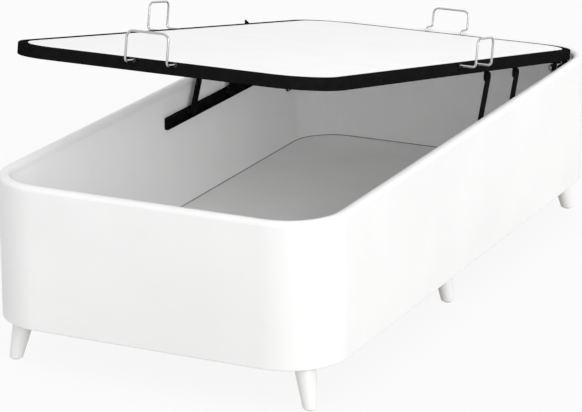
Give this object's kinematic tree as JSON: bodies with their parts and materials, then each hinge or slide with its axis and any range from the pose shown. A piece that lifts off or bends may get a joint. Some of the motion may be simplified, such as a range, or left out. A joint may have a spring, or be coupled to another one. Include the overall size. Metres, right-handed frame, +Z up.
{
  "type": "divan bed base",
  "caption": "Upholstered single divan bed base with rounded corners, an open storage well, tapered legs and a hinged lid board on lifting arms and gas springs.",
  "frame": {"origin": "on the floor under the middle of the base", "axes": "+Z up, +Y along the length towards the head end where the lid is hinged, +X across the width to the right"},
  "size_m": [0.953, 1.9141, 0.8838],
  "materials": {
    "upholstery": "white smooth synthetic leather over thin foam",
    "foam": "upholstery foam, hidden",
    "board": "plywood and hardboard",
    "lining": "white matt lining cloth",
    "lid_board": "white laminated board",
    "leg": "white lacquered turned leg, satin",
    "black_steel": "black powder coat, semi-gloss",
    "chrome": "bright plated wire",
    "zinc": "zinc plated steel",
    "nylon": "black nylon"
  },
  "bodies": {
    "base": {"side_panel_left": "board", "side_panel_right": "board", "foot_panel": "board", "head_panel": "board", "corner_panel_head_right": "board", "corner_panel_head_left": "board", "corner_panel_foot_left": "board", "corner_panel_foot_right": "board", "base_foam": "foam", "base_cover": "upholstery", "inner_lining": "lining", "floor_panel": "lining", "leg_foot_left": "leg", "leg_middle_left": "leg", "leg_head_left": "leg", "leg_foot_right": "leg", "leg_middle_right": "leg", "leg_head_right": "leg", "leg_plate_foot_left": "zinc", "leg_plate_middle_left": "zinc", "leg_plate_head_left": "zinc", "leg_plate_foot_right": "zinc", "leg_plate_middle_right": "zinc", "leg_plate_head_right": "zinc", "base_rail_left": "black_steel", "base_rail_right": "black_steel", "hinge_bracket_left": "black_steel", "hinge_bracket_right": "black_steel", "hinge_pin_left": "zinc", "hinge_pin_right": "zinc", "gas_bracket_left": "black_steel", "gas_bracket_right": "black_steel"},
    "lid": {"lid_frame": "black_steel", "lid_board": "lid_board", "lid_cross_bar_foot": "black_steel", "lid_cross_bar_middle": "black_steel", "lid_cross_bar_head": "black_steel", "mattress_retainer_left": "chrome", "mattress_retainer_right": "chrome", "mattress_retainer_foot": "chrome", "mattress_retainer_head": "chrome", "arm_lug_front_left": "black_steel", "arm_lug_rear_left": "black_steel", "arm_lug_front_right": "black_steel", "arm_lug_rear_right": "black_steel", "gas_lug_left": "black_steel", "gas_lug_right": "black_steel"},
    "front_arm_left": {"lift_arm_front_left": "black_steel", "arm_glide_front_left": "nylon"},
    "rear_arm_left": {"lift_arm_rear_left": "black_steel", "arm_glide_rear_left": "nylon"},
    "front_arm_right": {"lift_arm_front_right": "black_steel", "arm_glide_front_right": "nylon"},
    "rear_arm_right": {"lift_arm_rear_right": "black_steel", "arm_glide_rear_right": "nylon"},
    "gas_cylinder_left": {"gas_cylinder_left": "black_steel"},
    "gas_cylinder_right": {"gas_cylinder_right": "black_steel"},
    "gas_rod_left": {"gas_rod_left": "chrome"},
    "gas_rod_right": {"gas_rod_right": "chrome"}
  },
  "joints": [
    {"name": "lid_hinge", "type": "hinge", "parent": "base", "child": "lid", "pos_m": [0, 0.834, 0.441], "axis": [-1, 0, 0], "range_deg": [-10.5, 1]},
    {"name": "front_arm_left_pivot", "type": "hinge", "parent": "lid", "child": "front_arm_left", "pos_m": [-0.418, 0.19685, 0.55909], "axis": [1, 0, 0], "range_deg": [-59.4, 5.7]},
    {"name": "rear_arm_left_pivot", "type": "hinge", "parent": "lid", "child": "rear_arm_left", "pos_m": [-0.418, 0.40727, 0.52009], "axis": [1, 0, 0], "range_deg": [-55.4, 5.3]},
    {"name": "front_arm_right_pivot", "type": "hinge", "parent": "lid", "child": "front_arm_right", "pos_m": [0.418, 0.19685, 0.55909], "axis": [1, 0, 0], "range_deg": [-59.4, 5.7]},
    {"name": "rear_arm_right_pivot", "type": "hinge", "parent": "lid", "child": "rear_arm_right", "pos_m": [0.418, 0.40727, 0.52009], "axis": [1, 0, 0], "range_deg": [-55.4, 5.3]},
    {"name": "gas_cylinder_left_pivot", "type": "hinge", "parent": "base", "child": "gas_cylinder_left", "pos_m": [-0.409, 0.765, 0.31], "axis": [1, 0, 0], "range_deg": [-0.5, 4.3]},
    {"name": "gas_cylinder_right_pivot", "type": "hinge", "parent": "base", "child": "gas_cylinder_right", "pos_m": [0.409, 0.765, 0.31], "axis": [1, 0, 0], "range_deg": [-0.5, 4.3]},
    {"name": "gas_rod_left_pivot", "type": "hinge", "parent": "lid", "child": "gas_rod_left", "pos_m": [-0.409, 0.70618, 0.46469], "axis": [1, 0, 0], "range_deg": [-6.4, 0.7]},
    {"name": "gas_rod_right_pivot", "type": "hinge", "parent": "lid", "child": "gas_rod_right", "pos_m": [0.409, 0.70618, 0.46469], "axis": [1, 0, 0], "range_deg": [-6.4, 0.7]}
  ],
  "couplings": [
    {"joint": "front_arm_left_pivot", "follows": "lid_hinge", "ratio": 5.64},
    {"joint": "rear_arm_left_pivot", "follows": "lid_hinge", "ratio": 5.26},
    {"joint": "front_arm_right_pivot", "follows": "lid_hinge", "ratio": 5.64},
    {"joint": "rear_arm_right_pivot", "follows": "lid_hinge", "ratio": 5.26},
    {"joint": "gas_cylinder_left_pivot", "follows": "lid_hinge", "ratio": -0.4},
    {"joint": "gas_cylinder_right_pivot", "follows": "lid_hinge", "ratio": -0.4},
    {"joint": "gas_rod_left_pivot", "follows": "lid_hinge", "ratio": 0.6},
    {"joint": "gas_rod_right_pivot", "follows": "lid_hinge", "ratio": 0.6}
  ]
}
